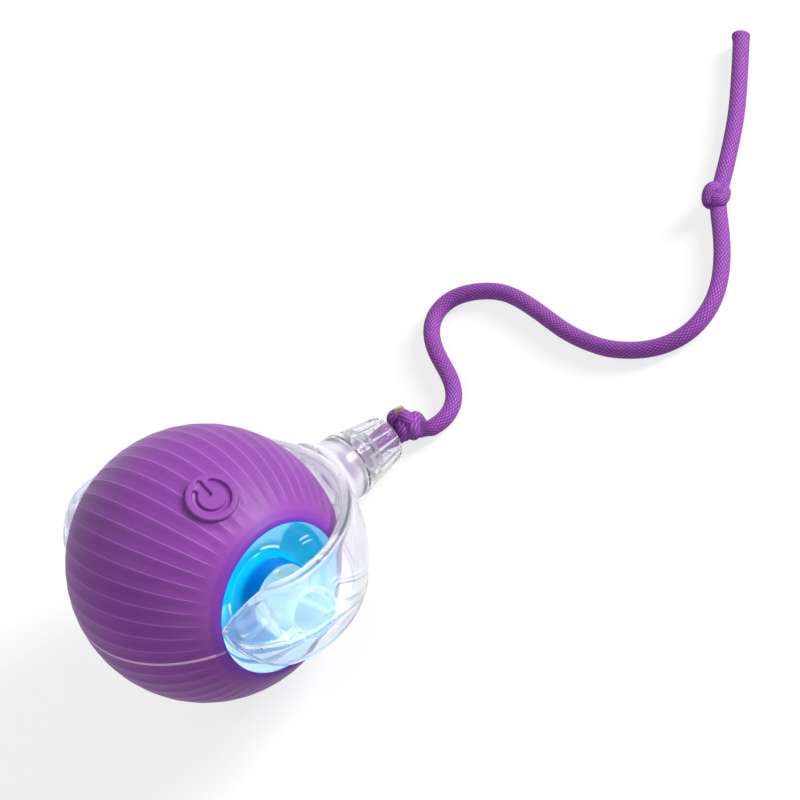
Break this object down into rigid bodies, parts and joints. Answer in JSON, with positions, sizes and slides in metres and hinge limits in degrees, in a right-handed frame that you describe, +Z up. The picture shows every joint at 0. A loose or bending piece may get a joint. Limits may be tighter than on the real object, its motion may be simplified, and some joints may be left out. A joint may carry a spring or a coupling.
{
  "type": "self rolling cat ball",
  "caption": "Motorised silicone cat ball that rolls by itself between the arms of a clear harness, trailing a knotted rope tail.",
  "frame": {"origin": "floor contact plane, below the middle of the ball and harness together", "axes": "+Z up, +X from the ball towards the rope tail, +Y along the hub axis to the right"},
  "size_m": [0.1588, 0.0751, 0.048],
  "materials": {
    "silicone": "matte silicone",
    "button_silicone": "matte silicone",
    "shell_plastic": "matte",
    "screw_steel": "satin",
    "dish_plastic": "glossy, translucent, lit from behind",
    "clear_plastic": "clear, glossy",
    "board": "solder mask",
    "led": "glossy",
    "chassis_plastic": "matte",
    "cell": "foil",
    "motor_steel": "satin",
    "black_plastic": "matte",
    "gear_plastic": "matte",
    "weight_steel": "plain",
    "rope": "braided",
    "rope_tip": "fused"
  },
  "bodies": {
    "harness": {"tail_yoke": "clear_plastic"},
    "weight": {"weight_carrier": "gear_plastic", "counterweight": "weight_steel"},
    "drive": {"drive_gear": "gear_plastic", "drive_shaft": "motor_steel"},
    "button": {"power_button": "button_silicone"},
    "tail": {"rope_washer": "motor_steel", "stopper_knot": "rope", "rope_strands": "rope", "neck_knot": "rope", "knot_stub": "rope_tip", "tail_rope": "rope", "end_knot": "rope", "tail_rope_end": "rope"},
    "cap": {"screw_cap": "clear_plastic"},
    "ball": {"silicone_sleeve": "silicone", "upper_shell": "shell_plastic", "lower_shell": "shell_plastic", "shell_screw_1": "screw_steel", "shell_screw_2": "screw_steel", "shell_screw_3": "screw_steel", "shell_screw_4": "screw_steel", "chassis_screw_1": "screw_steel", "chassis_screw_2": "screw_steel", "hub_dish_left": "dish_plastic", "hub_dish_right": "dish_plastic", "pivot_cup_left": "clear_plastic", "pivot_cup_right": "clear_plastic", "led_board_left": "board", "led_board_right": "board", "circuit_board": "board", "switch_board": "board", "charge_board": "board", "led_left_1": "led", "led_left_2": "led", "led_left_3": "led", "led_right_1": "led", "led_right_2": "led", "led_right_3": "led", "chassis_left": "chassis_plastic", "chassis_right": "chassis_plastic", "battery_cell": "cell", "motor": "motor_steel", "charge_socket": "motor_steel", "gearbox": "black_plastic", "tact_switch": "black_plastic"}
  },
  "joints": [
    {"name": "ball_roll", "type": "hinge", "parent": "harness", "child": "ball", "pos_m": [-0.00851, 0, 0.02398], "axis": [0, 1, 0], "continuous": true},
    {"name": "weight_swing", "type": "hinge", "parent": "ball", "child": "weight", "pos_m": [-0.00851, 0, 0.02398], "axis": [0, 1, 0], "continuous": true},
    {"name": "drive_spin", "type": "hinge", "parent": "ball", "child": "drive", "pos_m": [-0.0106, 0, 0.01668], "axis": [0, 1, 0], "continuous": true},
    {"name": "button_press", "type": "slide", "parent": "ball", "child": "button", "axis": [-0.2392, 0.4971, -0.8341], "range_m": [0, 0.0004], "stiffness_N_per_m": 600, "springref_m": -0.001},
    {"name": "cap_lift", "type": "slide", "parent": "harness", "child": "tail", "axis": [0.8881, 0, -0.4597], "range_m": [0, 0.004]},
    {"name": "cap_turn", "type": "hinge", "parent": "tail", "child": "cap", "pos_m": [0.03056, 0, 0.00376], "axis": [0.8881, 0, -0.4597], "range_deg": [0, 720]}
  ],
  "couplings": [
    {"joint": "drive_spin", "follows": "weight_swing", "ratio": 2.1176},
    {"joint": "cap_turn", "follows": "cap_lift", "rad_per_m": 3141.5}
  ]
}
